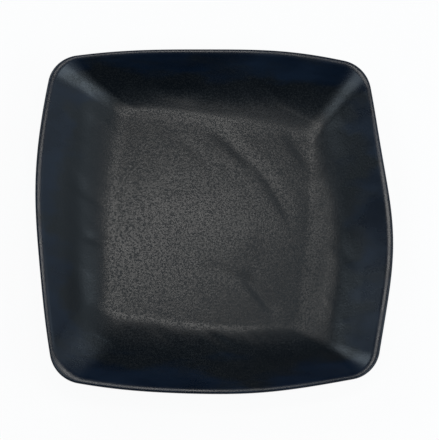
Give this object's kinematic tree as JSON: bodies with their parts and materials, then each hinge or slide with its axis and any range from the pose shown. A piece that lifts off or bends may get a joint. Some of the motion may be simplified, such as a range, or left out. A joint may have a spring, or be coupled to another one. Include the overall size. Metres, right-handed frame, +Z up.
{
  "type": "square dinner plate",
  "caption": "Square dinner plate with bowed sides, rounded corners and a shallow rippled well, matt charcoal inside with a smooth blue-black rim, standing on a bare foot ring.",
  "frame": {"origin": "under the middle of the plate, on the surface that the foot ring stands on", "axes": "+Z up out of the well; +X to the right and +Y to the far side, as the picture shows the plate"},
  "size_m": [0.2612, 0.2546, 0.031],
  "materials": {
    "fired_clay": "bare fired stoneware, fine sandy grain, ground flat where it stands",
    "matt_glaze": "matt charcoal glaze with a fine sandy grain and soft ripples",
    "satin_glaze": "smooth satin blue-black glaze",
    "outside_glaze": "smooth satin near-black glaze with faint specks"
  },
  "bodies": {
    "root": {"clay_body": "fired_clay", "well_glaze": "matt_glaze", "rim_glaze": "satin_glaze", "outer_glaze": "outside_glaze", "base_glaze": "outside_glaze"}
  },
  "joints": []
}
